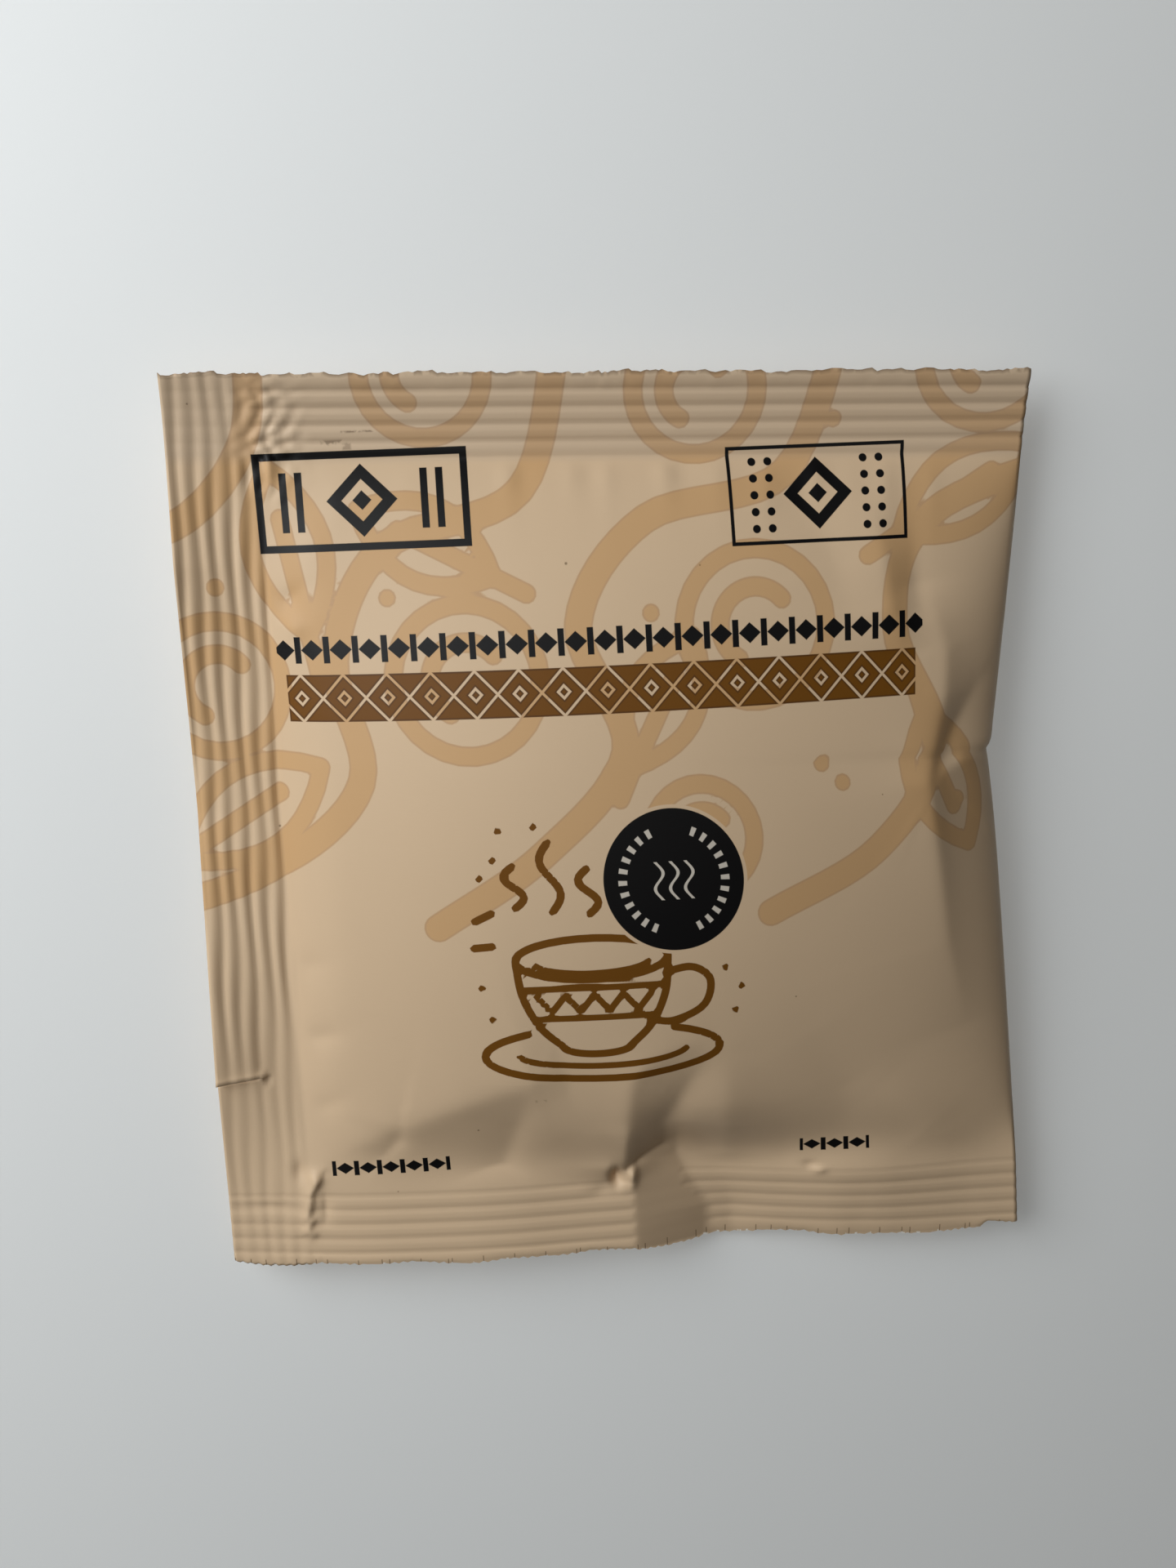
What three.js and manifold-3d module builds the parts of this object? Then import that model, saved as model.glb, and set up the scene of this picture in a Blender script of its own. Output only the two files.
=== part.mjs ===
// A sealed film sachet that holds one coffee brew bag, lying on its back.
// One web of laminate is folded along the right side and crimped along the left, the top and the bottom.
// Millimetres. +X runs from the side seal to the fold, +Y to the top seal, +Z out of the printed front.
// The origin is on the surface that the sachet rests on, under the middle of its outline.
import * as THREE from 'three';
import { mergeVertices } from 'three/addons/utils/BufferGeometryUtils.js';
import Module from 'manifold-3d';

// Envelope, measured flat
const pouchWidth = 105;
const pouchHeight = 113;
const filmThickness = 0.15;

// Crimped seals: the ribs across the ends and those along the side
const sideSealWidth = 10.5;
const endSealWidth = 10;
const ribPitch = 2;
const endRibDepth = 0.3;
const sideRibDepth = 0.42;
const firstSideGroove = 0.4;

// Cut ends: a fine saw edge on a line that wanders and runs down to the right
const toothPitch = 1.5;
const toothHeight = 0.32;
const cutWander = 0.3;
const cutWanderPitch = 17;
const topSlant = 0.9;
const sideLean = 0.55;

// Tear slit in the side seal, its mouth measured from the bottom cut
const slitHeight = 25.3;
const slitLength = 5.8;
const slitGap = 0.25;
const slitRise = 0.7;

// How the sachet is filled
const seamHeight = 5.8;
const frontRise = 11.2;
const backDrop = 7.4;
const powerAtSeal = 0.85;
const powerAtFold = 0.55;
const powerAlong = 0.7;
const softEnds = 0.1;

// The fold draws in where the sachet is full, down to a small notch measured from the bottom cut
const foldPull = 4.3;
const foldPullPower = 1.15;
const notchHeight = 66.6;
const notchDepth = 0.7;
const notchLead = 0.5;
const notchTail = 6;

// The bottom seal is pinched at this distance from the fold, and waves on both sides of it
const pinchToFold = 51.5;
const waveReach = 13;
const topCurl = 1.2;

const sealThickness = 2 * filmThickness;
const leftCut = -pouchWidth / 2;
const foldLine = pouchWidth / 2;
const bottomCut = -pouchHeight / 2;
const topCut = pouchHeight / 2;
const sideSealLine = leftCut + sideSealWidth;
const bottomSealLine = bottomCut + endSealWidth;
const topSealLine = topCut - endSealWidth;
const bodyWidth = foldLine - sideSealLine;
const bodyHeight = topSealLine - bottomSealLine;
const notchLine = bottomCut + notchHeight;
const pinchLine = foldLine - pinchToFold;
const slitLine = bottomCut + slitHeight;

// Heights of the bottom seal over the seam plane: distance from the pinch, height
const bottomWave = [
  [-53.5, -0.1], [-45, 0.6], [-37, 1.8], [-29, 2.1], [-18, 2.4], [-8, 1.6], [-0.2, 1.1],
  [9.8, -1.9], [13, -1.5], [20, 0.2], [30, 1.9], [39, 1.2], [47, 0.2], [51.5, 0.2],
];

// Angle in degrees at which the bottom seal hangs from its inner edge: distance from the pinch, angle
const bottomHang = [[-0.2, 0], [9.8, 11], [13, 14], [30, 14], [47, 5], [51.5, 4]];

// Heights of the side seal's cut edge, below and above the tear slit: distance from the bottom cut, height
const liftBelowSlit = [[0, -0.8], [11.5, 0.1], [25.5, 1.2]];
const liftAboveSlit = [[25.5, 3.3], [39.5, 2.2], [60.5, 0], [70.5, 0.4], [90.5, 2.6], [104.5, 1.8], [113, 1]];

// Folds of the front film. A path point is x, y from the anchor and the height of the fold's line.
// reach is how far the fold is felt on the left and on the right of its path.
const dentAnchor = [foldLine, notchLine];
const pinchAnchor = [pinchLine, bottomSealLine];
const footAnchor = [sideSealLine, bottomSealLine];
const frontFolds = [
  {
    name: 'dent edge',
    anchor: dentAnchor,
    path: [
      [-14, 21, 0], [-11.6, 13, 0.7], [-11.8, 7.5, 1.1], [-13.2, 2, 1.4],
      [-14.4, -3.5, 1.6], [-12, -12, 0.6], [-7.5, -24, 0],
    ],
    reach: [2.6, 8],
    round: 0.6,
  },
  {
    name: 'upper edge',
    anchor: dentAnchor,
    path: [[-21, 32, 0], [-19, 24, 0.6], [-18.5, 18, 0.7], [-17, 12, 0]],
    reach: [2.2, 6],
    round: 0.7,
  },
  {
    name: 'upper valley',
    anchor: dentAnchor,
    path: [[-15, 30, -0.1], [-15, 21, -0.6], [-14.3, 16, -0.1]],
    reach: [3, 2],
    round: 1,
  },
  {
    name: 'dent crease',
    anchor: dentAnchor,
    path: [[-14.2, -4.3, -0.3], [-13.1, -2.5, -2], [-10.2, 0.3, -1.4], [-5.9, 3.5, -0.3]],
    reach: [1.5, 3.2],
    round: 0.4,
  },
  {
    name: 'corner ridge',
    anchor: dentAnchor,
    path: [[-19.5, -43, 0.1], [-12.5, -50, 0.5], [-4.5, -55.5, 0.4]],
    reach: [4, 4],
    round: 1.2,
  },
  {
    name: 'pinch crest',
    anchor: pinchAnchor,
    path: [
      [9.9, 22.4, 0], [4.1, 20, 0.4], [1, 18.1, 0.7], [-0.5, 16.1, 0.9],
      [-0.9, 13.7, 1.1], [-1.3, 8, 1.4], [-1.7, 1.5, 0.8],
    ],
    reach: [2.6, 4],
    round: 0.5,
  },
  {
    name: 'pinch valley',
    anchor: pinchAnchor,
    path: [[4.2, 5.3, -1.3], [3.8, 8.9, -1.3], [6.8, 15, -0.6], [9.9, 19.5, 0]],
    reach: [3, 2.4],
    round: 1,
  },
  {
    name: 'pinch apron',
    anchor: pinchAnchor,
    path: [[-11, 13.5, 0.2], [-7, 8.5, 0.4], [-2.6, 3, 0.8]],
    reach: [4, 4],
    round: 1.2,
  },
  {
    name: 'right ridge',
    anchor: pinchAnchor,
    path: [[11.5, 19.5, 0.1], [11.5, 11.5, 0.5], [12, 3.5, 0.4]],
    reach: [3.5, 3.5],
    round: 1.2,
  },
  {
    name: 'right hollow',
    anchor: pinchAnchor,
    path: [[15, 22.5, -0.1], [18, 13.5, -0.5], [17, 4.5, -0.4]],
    reach: [5, 5],
    round: 2,
  },
  {
    name: 'shoulder',
    anchor: footAnchor,
    path: [[-1, 1.5, 0], [4, 4.7, 0.35], [11.6, 9.5, 0.85], [21, 13, 0.8], [29.7, 16, 0.6], [34, 17, 0]],
    reach: [7.5, 3.2],
    round: 1,
  },
  {
    name: 'shoulder end',
    anchor: footAnchor,
    path: [[29.8, 15.7, -0.1], [27.6, 9.5, -0.75], [25, 2.5, -0.4]],
    reach: [2.2, 5],
    round: 0.8,
  },
  {
    name: 'side shoulder',
    anchor: footAnchor,
    path: [[5.5, 84.5, 0.3], [6.5, 56.5, 0.5], [6, 26.5, 0.4], [4.5, 12.5, 0.2]],
    reach: [5, 6],
    round: 2,
  },
];

const lerp = THREE.MathUtils.lerp;
const clamp01 = (value) => Math.min(1, Math.max(0, value));
const smooth = (value) => clamp01(value) ** 2 * (3 - 2 * clamp01(value));
const bell = (distance) => Math.exp(-distance * distance);

// Height at one place of a line through [place, height] points
function along(points, place) {
  const next = points.findIndex(([at]) => at > place);
  if (next === 0) return points[0][1];
  if (next < 0) return points.at(-1)[1];
  const [[a, low], [b, high]] = [points[next - 1], points[next]];
  return lerp(low, high, (place - a) / (b - a));
}

// How far the fold has moved in at height y
function foldInset(y) {
  const above = y > notchLine;
  const span = above ? topCut - notchLine : notchLine - bottomCut;
  const near = clamp01(1 - Math.abs(y - notchLine) / span);
  const notch = Math.exp(-Math.abs(y - notchLine) / (above ? notchLead : notchTail));
  return foldPull * near ** foldPullPower + notchDepth * notch;
}

// Height that one fold adds at (x, y)
function foldRise({ anchor, path, reach, round }, x, y) {
  const nearest = path.slice(1).map(([x1, y1, high], i) => {
    const [x0, y0, low] = path[i];
    const [runX, runY] = [x1 - x0, y1 - y0];
    const [toX, toY] = [x - anchor[0] - x0, y - anchor[1] - y0];
    const share = clamp01((toX * runX + toY * runY) / (runX * runX + runY * runY));
    const [offX, offY] = [toX - share * runX, toY - share * runY];
    return { away: Math.hypot(offX, offY), onLeft: runX * offY - runY * offX > 0, height: lerp(low, high, share) };
  }).reduce((best, one) => (one.away < best.away ? one : best));
  const fall = reach[nearest.onLeft ? 0 : 1];
  return nearest.height * Math.exp((round - Math.hypot(nearest.away, round)) / fall);
}

// Ribs of the crimping jaws: broad crests between grooves
function ribWave(distance, sharp) {
  const groove = 0.5 + 0.5 * Math.cos((2 * Math.PI * distance) / ribPitch);
  return 0.35 - groove ** sharp;
}

function ribRise(x, y) {
  const endDistance = Math.min(topCut - y, y - bottomCut);
  const [atTop, atBottom, atSide] = [y > topSealLine, y < bottomSealLine, x < sideSealLine + 0.1];
  const sideShare = atTop ? 0.95 : atBottom ? 0.3 : 0.35 + 0.65 * smooth((y - slitLine) / 5);
  const cornerShare = atTop ? 0.15 : 0.75;
  const pinched = atBottom ? 1 - 0.85 * bell((x - pinchLine - 5) / 4.6) : 1;
  const endShare = (atSide ? cornerShare : 1) * pinched;
  const side = atSide ? sideRibDepth * sideShare * ribWave(x - leftCut - firstSideGroove, 1.3) : 0;
  const end = atTop || atBottom ? endRibDepth * endShare * ribWave(endDistance, 3) : 0;
  return side + end;
}

const slitAt = (x) => slitLine + slitRise * clamp01((x - leftCut) / slitLength);

// The middle of the two films: flat in the body, set out of plane in the margins
function midHeight(x, y) {
  const topShare = clamp01((y - topSealLine) / endSealWidth);
  const sideShare = clamp01((sideSealLine - x) / sideSealWidth);
  const nearBottom = bell(Math.max(0, y - bottomSealLine) / waveReach);
  const up = y - bottomCut;
  const torn = along(y > slitAt(x) ? liftAboveSlit : liftBelowSlit, up);
  const whole = along([...liftBelowSlit.slice(0, -1), ...liftAboveSlit.slice(1)], up);
  const lift = lerp(torn, whole, smooth((x - leftCut - slitLength + 1.5) / 3));
  const wave = [-0.8, 0, 0.8].reduce((sum, shift) => sum + along(bottomWave, x - pinchLine + shift) / 3, 0);
  return seamHeight + topCurl * topShare ** 2 + lift * sideShare ** 1.6 + nearBottom * wave;
}

// How much of the full bulge stands at (x, y), from 0 on the seals and the fold to 1 in the middle
function bulgeShare(x, y) {
  const across = clamp01((x - sideSealLine) / bodyWidth);
  const up = clamp01((y - bottomSealLine) / bodyHeight);
  const soften = (value) => (value + softEnds) ** powerAlong - softEnds ** powerAlong;
  const power = lerp(powerAtSeal, powerAtFold, across);
  return ((4 * across * (1 - across)) ** power * soften(4 * up * (1 - up))) / soften(1);
}

// Points of both films at film position (x, y), where cutOffset moves the cut ends of the web
function filmPoints(x, y, cutOffset = 0) {
  const across = clamp01((x - sideSealLine) / bodyWidth);
  const share = bulgeShare(x, y);
  const planX = x - foldInset(y) * across ** 2;
  const folds = frontFolds.reduce((sum, fold) => sum + foldRise(fold, planX, y), 0) * smooth(share * 6);
  const mid = midHeight(x, y) + ribRise(x, y);
  const leanX = planX - (sideLean * y) / topCut;
  const hang = THREE.MathUtils.degToRad(along(bottomHang, x - pinchLine));
  const hanging = Math.max(0, bottomSealLine - y);
  const slant = ((topSlant * x) / foldLine) * smooth((y - bottomCut) / pouchHeight);
  const planY = y + cutOffset - slant + hanging * (1 - Math.cos(hang));
  const midZ = mid - hanging * Math.sin(hang);
  const frontZ = midZ + sealThickness / 2 + Math.max(0, frontRise * share + folds);
  const backZ = Math.max(0, midZ - sealThickness / 2 - backDrop * share ** 0.8);
  return { x, front: new THREE.Vector3(leanX, planY, frontZ), back: new THREE.Vector3(leanX, planY, backZ) };
}

// Positions from start to end, drawn towards both ends by pull
function spread(start, end, count, pull = 0) {
  return Array.from({ length: count + 1 }, (_, i) => {
    const t = i / count;
    return start + (end - start) * (t - (pull * Math.sin(2 * Math.PI * t)) / (2 * Math.PI));
  });
}

const ribSteps = 3;
const ribCount = Math.round(endSealWidth / ribPitch);
const ribbedSide = [leftCut, ...spread(leftCut + firstSideGroove, sideSealLine, ribCount * ribSteps)];
const plainSide = spread(leftCut, sideSealLine, 3);
const sealColumns = spread(sideSealLine, foldLine, 27).slice(1);
const frontColumns = [...ribbedSide, ...spread(sideSealLine, foldLine, 44, 0.4).slice(1)];
const backColumns = [...ribbedSide, ...spread(sideSealLine, foldLine, 14, 0.4).slice(1)];
const toothColumns = spread(leftCut, foldLine, Math.round(pouchWidth / toothPitch) * 2);

// One cross-section of the sachet: both films from the cut side edge to the fold
function section(front, back, place) {
  return {
    front: front.map((x) => ({ x, point: place(x).front })),
    back: back.map((x) => ({ x, point: place(x).back })),
  };
}

const level = (y, front, back) => section(front, back, (x) => filmPoints(x, y));

// A row on one side of the slit, which rises with it
function slitLevel(offset) {
  const rise = (x) => slitAt(x) + offset;
  return section(frontColumns, backColumns, (x) => filmPoints(x, rise(x)));
}

function cutSection(y, outward) {
  const tooth = (x) => (Math.round(((x - leftCut) / toothPitch) * 2) % 2) * toothHeight;
  const wander = (x) => cutWander * Math.sin((2 * Math.PI * x) / cutWanderPitch + y) * Math.cos(x / 7.5);
  return section(toothColumns, toothColumns, (x) => filmPoints(x, y, outward * (tooth(x) + wander(x))));
}

const sealRows = ribCount * ribSteps;
const bottomColumns = [...plainSide, ...sealColumns];
const topColumns = [...ribbedSide, ...sealColumns];
const slitMargin = 1.2 * slitGap;
const sections = [
  cutSection(bottomCut, -1),
  ...spread(bottomCut, bottomSealLine, sealRows).slice(1).map((y) => level(y, bottomColumns, bottomColumns)),
  ...spread(bottomSealLine, slitLine, 9, 0.3).slice(1, -1).map((y) => level(y, frontColumns, backColumns)),
  slitLevel(-slitMargin),
  slitLevel(slitMargin),
  ...spread(slitLine, topSealLine, 23, 0.25).slice(1, -1).map((y) => level(y, frontColumns, backColumns)),
  ...spread(topSealLine, topCut, sealRows).slice(0, -1).map((y) => level(y, topColumns, topColumns)),
  cutSection(topCut, 1),
];

// Triangles between two rows of points that run the same way but need not match in number
function zip(lower, upper, turned, triangles) {
  let i = 0;
  let j = 0;
  while (i < lower.length - 1 || j < upper.length - 1) {
    const stepLower = j === upper.length - 1 || (i < lower.length - 1 && lower[i + 1].x <= upper[j + 1].x);
    const corner = stepLower ? lower[i + 1] : upper[j + 1];
    const triangle = [lower[i].point, corner.point, upper[j].point];
    triangles.push(...(turned ? triangle.reverse() : triangle));
    if (stepLower) i += 1;
    else j += 1;
  }
}

function loft(rows) {
  const triangles = [];
  rows.slice(1).forEach((upper, i) => {
    const lower = rows[i];
    zip(lower.front, upper.front, false, triangles);
    zip(lower.back, upper.back, true, triangles);
    const ends = (row, pick) => [row.back.at(pick), row.front.at(pick)].map(({ point }, x) => ({ x, point }));
    zip(ends(lower, 0), ends(upper, 0), false, triangles);
    zip(ends(lower, -1), ends(upper, -1), true, triangles);
  });
  zip(rows[0].back, rows[0].front, false, triangles);
  zip(rows.at(-1).back, rows.at(-1).front, true, triangles);
  return new THREE.BufferGeometry().setFromPoints(triangles);
}

const wasm = await Module();
wasm.setup();

function toSolid(geometry) {
  const bare = geometry.clone();
  ['normal', 'uv'].forEach((name) => bare.deleteAttribute(name));
  const merged = mergeVertices(bare, 1e-4);
  return new wasm.Manifold(
    new wasm.Mesh({
      numProp: 3,
      vertProperties: merged.attributes.position.array,
      triVerts: new Uint32Array(merged.index.array),
    }),
  );
}

function toGeometry(solid) {
  const mesh = solid.getMesh();
  const geometry = new THREE.BufferGeometry();
  geometry.setAttribute('position', new THREE.BufferAttribute(mesh.vertProperties, 3));
  geometry.setIndex(new THREE.BufferAttribute(mesh.triVerts, 1));
  geometry.computeVertexNormals();
  return geometry;
}

// A thin wedge that opens towards the cut side edge and follows the slit
function slitCutter() {
  const { x, y } = filmPoints(leftCut, slitLine).front;
  const tip = filmPoints(leftCut + slitLength, slitLine + slitRise).front;
  const back = (x - tip.x) / 4;
  const wedge = new THREE.Shape([
    new THREE.Vector2(x + back, y - slitGap),
    new THREE.Vector2(tip.x, tip.y),
    new THREE.Vector2(x + back, y + slitGap),
  ]);
  return new THREE.ExtrudeGeometry(wedge, { depth: seamHeight + frontRise, bevelEnabled: false });
}

const geometry = toGeometry(toSolid(loft(sections)).subtract(toSolid(slitCutter())));
geometry.computeBoundingBox();
const middle = geometry.boundingBox.getCenter(new THREE.Vector3());
geometry.translate(-middle.x, -middle.y, -geometry.boundingBox.min.z);

const sachet = new THREE.Mesh(
  geometry,
  new THREE.MeshStandardMaterial({ color: 0xcdb08c, roughness: 0.5, metalness: 0 }),
);
sachet.name = 'sachet';

const part = new THREE.Group();
part.add(sachet);
export default part;
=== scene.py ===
import math

import bmesh
import bpy
import numpy as np
from mathutils import Matrix, Vector


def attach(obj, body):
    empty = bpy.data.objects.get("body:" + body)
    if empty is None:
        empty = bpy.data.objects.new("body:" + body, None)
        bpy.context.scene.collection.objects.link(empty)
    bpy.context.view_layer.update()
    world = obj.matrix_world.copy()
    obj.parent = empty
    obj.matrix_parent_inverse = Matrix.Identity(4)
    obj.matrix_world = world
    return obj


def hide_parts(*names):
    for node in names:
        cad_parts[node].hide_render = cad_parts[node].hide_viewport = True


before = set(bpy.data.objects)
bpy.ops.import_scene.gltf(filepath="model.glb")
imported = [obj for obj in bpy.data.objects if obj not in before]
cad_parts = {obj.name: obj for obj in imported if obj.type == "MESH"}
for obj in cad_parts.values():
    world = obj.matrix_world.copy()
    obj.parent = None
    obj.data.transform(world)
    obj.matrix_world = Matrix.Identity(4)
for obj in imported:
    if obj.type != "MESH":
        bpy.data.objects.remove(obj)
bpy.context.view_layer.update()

# The sachet's film is worked out flat, in millimetres from the middle of the uncut web,
# with x from the side seal to the fold and y from the bottom seal to the top seal.

pouch = {
    "width": 105.0,
    "height": 113.0,
    "film": 0.3,            # both films together
    "sideSeal": 10.5,
    "endSeal": 10.0,
    "seamHeight": 5.8,
    "frontRise": 11.2,
    "backDrop": 7.4,
    "foldPull": 4.3,        # how far the full fold draws in
    "notchHeight": 66.6,    # from the bottom cut
    "notchDepth": 0.7,
    "notchReach": (0.5, 6), # how far the notch is felt above and below it
    "topCurl": 1.6,
    "alongPower": 0.7,
    "softEnds": 0.1,        # softens the bulge's start at the end seals
    "slitHeight": 25.8,     # of the tear slit's mouth above the bottom cut
    "slitLength": 5.5,
    "slitRise": 0.3,
    "slitCurl": 0.35,       # the upper side of the slit curls up a little
    "topSlant": 0.9,        # the top cut runs down to the right by twice this
    "sideLean": 0.55,       # both sides lean over by twice this
    "waveReach": 7.0,       # how far up the bottom seal's wave is felt
    "flatStart": 6.2,       # how far up the front rises only slowly from the bottom seal
    "stretch": 1.007,       # the filled sachet is a little longer than its web
    "shift": 0.2,           # and lies this much further up
}

left, right = -pouch["width"] / 2, pouch["width"] / 2
bottom, top = -pouch["height"] / 2, pouch["height"] / 2
sideLine = left + pouch["sideSeal"]
bottomLine, topLine = bottom + pouch["endSeal"], top - pouch["endSeal"]
bodyWide, bodyHigh = right - sideLine, topLine - bottomLine
notchLine = bottom + pouch["notchHeight"]
slitLine = bottom + pouch["slitHeight"]

# How softly the bottom seal's wave bends, since only the pinch has sharp edges: x, then softness
waveSoftness = [(-9, 3), (0, 0.4), (15, 0.4), (22, 3)]

# Height of the bottom seal above or below the seam, across the sachet: x, then height
bottomWave = [(-52.5, -0.1), (-44, 0.6), (-36, 1.8), (-28, 2.1), (-17, 2.4), (-7, 1.6), (0.8, 1.1),
              (10.8, -1.9), (14, -1.5), (21, 0.2), (31, 1.9), (40, 1.2), (48, 0.2), (52.5, 0.2)]

# The pinch at the bottom: x where its flat facet starts and bends and where its wave ends, then the facet's
# right edge: y, then x
pinch = {"start": 0.8, "bend": 10.8, "end": 21, "knee": [(-52, 10.8), (-44, 6.9)]}

# Angle in degrees at which the bottom seal hangs from its inner edge: x, then angle
bottomHang = [(0.8, 0), (10.8, 11), (14, 14), (31, 14), (48, 5), (52.5, 4)]

# How far the side seal's cut edge stands out of the seam plane, up to the tear slit and above it: y, then height
sideLiftBelow = [(-56.5, -0.8), (-45, -0.1), (-31, 1.1)]
sideLiftAbove = [(-31, 2.3), (-17, 1.6), (4, -0.2), (14, 0.2), (34, 2.1), (48, 1.5), (56.5, 0.9)]

# Folds and creases of the front film. path: x, y and height of the fold's line; reach: how fast it falls off
# on the left and on the right of the way; round: how rounded its line is
folds = {
    "dentEdge": {"path": [(38.5, 31, 0), (40.9, 23, 0.7), (40.7, 17.6, 1.1), (39.3, 12, 1.4), (38.1, 6.6, 1.8),
                          (39.4, -2, 1.3), (41, -14, 0.7), (44, -26, 0)],
                 "reach": (2.6, 7), "round": 0.7},
    "upperEdge": {"path": [(31.5, 42, 0), (33.4, 34, 0.6), (34, 28, 0.7), (35.5, 22, 0)],
                  "reach": (2.2, 6), "round": 0.7},
    "upperValley": {"path": [(37.4, 40, -0.1), (37.6, 31, -0.6), (38.2, 26, -0.1)],
                    "reach": (3, 2), "round": 1.0},
    "dentValley": {"path": [(38.3, 5.6, -0.2), (39.7, 9, -0.7), (42, 13.4, -0.9), (45.5, 18.5, -0.3)],
                   "reach": (1.8, 3), "round": 0.5},
    "dentCrease": {"path": [(38.2, 5.0, 0.1), (40.3, 7.6, 0.7), (43.3, 9.3, 1.1), (47.3, 10, 0.9)],
                   "reach": (2.6, 6), "round": 0.35},
    "shoulder": {"path": [(-43, -44, 0.1), (-36, -39.4, 0.7), (-30, -36.8, 1.1), (-21, -33.2, 1.1),
                          (-12.3, -30, 0.8), (-8, -29, 0)],
                 "reach": (7.5, 3.2), "round": 1.5},
    "shoulderKink": {"path": [(-29.2, -36.4, -0.2), (-29.8, -38.6, -0.5), (-31.5, -40.8, -0.3)],
                     "reach": (1.0, 4), "round": 0.35},
    "shoulderEnd": {"path": [(-12.6, -32, -0.1), (-14.6, -37.6, -0.6), (-16.6, -43.4, -0.6)],
                    "reach": (2.2, 5), "round": 0.9},
    "pinchApron": {"path": [(-10, -33, 0.2), (-6, -38, 0.4), (-1.6, -43.6, 0.8)], "reach": (4, 4), "round": 1.2},
    "pinchCrest": {"path": [(10.9, -24.1, 0), (5.1, -26.5, 0.35), (2, -28.4, 0.55), (0.5, -30.4, 0.7),
                            (0.1, -32.8, 0.8), (-0.3, -38.5, 1.1), (-0.7, -45, 0.5)],
                   "reach": (2.8, 4), "round": 0.9},
    "pinchFold": {"path": [(0, -36.5, 0), (-0.3, -40, 0.35), (-0.7, -45, 0.4)],
                  "reach": (1.2, 1.6), "round": 0.2},
    "pinchValley": {"path": [(10.9, -27, 0), (7.8, -31.5, -0.6), (4.8, -37.6, -1.3), (5.2, -41.2, -1.4)],
                    "reach": (3.0, 2.4), "round": 1.0},
    "pinchLip": {"path": [(-0.9, -45.6, -0.2), (0.2, -44.3, -1.2), (1.3, -43.6, -1.1), (2.8, -43.1, -0.8),
                          (4.6, -42.5, -0.4), (5.0, -41.4, 0)],
                 "reach": (1.0, 0.9), "round": 0.15},
    "rightHollow": {"path": [(23, -25, -0.1), (28, -33, -0.35), (28, -40, -0.25)],
                    "reach": (5, 5), "round": 2.0},
    "rightRidge": {"path": [(12.5, -27, 0.1), (12.5, -35, 0.5), (13, -43, 0.4)],
                   "reach": (3.5, 3.5), "round": 1.2},
    "sidePuckerA": {"path": [(-42, -25.2, -0.1), (-39.3, -25, -0.45), (-36, -24, -0.1)],
                    "reach": (1.6, 1.2), "round": 0.5},
    "sidePuckerB": {"path": [(-42, -34.8, -0.1), (-39.2, -34.3, -0.4), (-36.4, -33, -0.1)],
                    "reach": (1.5, 1.1), "round": 0.5},
    "sidePuckerC": {"path": [(-42, -15.4, -0.05), (-40, -15.6, -0.3), (-37, -14.6, -0.05)],
                    "reach": (1.8, 1.4), "round": 0.5},
    "cornerRidge": {"path": [(33, -33, 0.1), (40, -40, 0.5), (48, -45.5, 0.4)], "reach": (4, 4), "round": 1.2},
    "leftShoulder": {"path": [(-36.5, 38, 0.3), (-35.5, 10, 0.5), (-36, -20, 0.4), (-37.5, -34, 0.2)],
                     "reach": (5, 6), "round": 2.0},
    "leftTuck": {"path": [(-40.4, -44.2, 0.6), (-41.5, -45.9, 0.7), (-41.8, -47.8, 0.7), (-42.2, -49.4, 0.6),
                          (-41.6, -49.7, 0.5), (-42.2, -51.1, 0.55), (-41.5, -51.6, 0.4), (-42.1, -53, 0)],
                 "reach": (0.3, 0.9), "round": 0.12},
    "leftTuckBack": {"path": [(-39.9, -45.8, 0), (-39.8, -47.5, -0.35), (-39.9, -49.5, -0.25), (-40.2, -51, 0)],
                     "reach": (0.6, 0.3), "round": 0.15},
    "cornerLine": {"path": [(-52.5, -47.9, -0.1), (-47, -48, -0.25), (-42.5, -48, -0.1)],
                   "reach": (0.4, 0.25), "round": 0.1},
    "rootCrease": {"path": [(-42, 31.5, -0.2), (-39.5, 30, -0.7), (-37.8, 31.2, -0.2)],
                   "reach": (1.0, 1.4), "round": 0.3},
    "rootLip": {"path": [(-41.5, 27.5, 0.4), (-38.8, 26.5, 0.5), (-37, 27, 0.1)],
                "reach": (1.8, 1.4), "round": 0.4},
    "upperHollow": {"path": [(24, 41, -0.5), (27.5, 34, -0.4), (28.5, 27, -0.1)],
                    "reach": (3.5, 3.5), "round": 1.5},
}

sealFolds = ("leftTuck", "leftTuckBack", "cornerLine")   # these lie in the crimp, where both films move together

# Short marks where the crimp is disturbed: x, y, height, size across, size up
dimples = [(-1.5, -45.5, -1.5, 0.75, 1.4), (0.6, -45.6, 0.9, 0.55, 1.5), (-3.4, -47.4, -0.3, 1.6, 0.8),
           (25.6, -46.3, 0.4, 0.7, 0.5), (24.4, -45.6, -0.3, 0.8, 0.6), (-41.0, -44.2, 0.5, 0.6, 0.9),
           (-42.9, -43.2, -0.4, 0.9, 1.3), (-46.9, -30.4, 0.45, 0.5, 0.6), (-46.2, -30.7, -0.35, 0.4, 0.6),
           (-40.6, 45.5, 0.35, 0.5, 2.0), (-43.2, 44.5, -0.3, 0.6, 1.4)]

# The film is crumpled in the top left corner
crumple = {"middle": (-40.2, 49.6), "size": (3.2, 6.2), "depth": 0.42}

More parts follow.
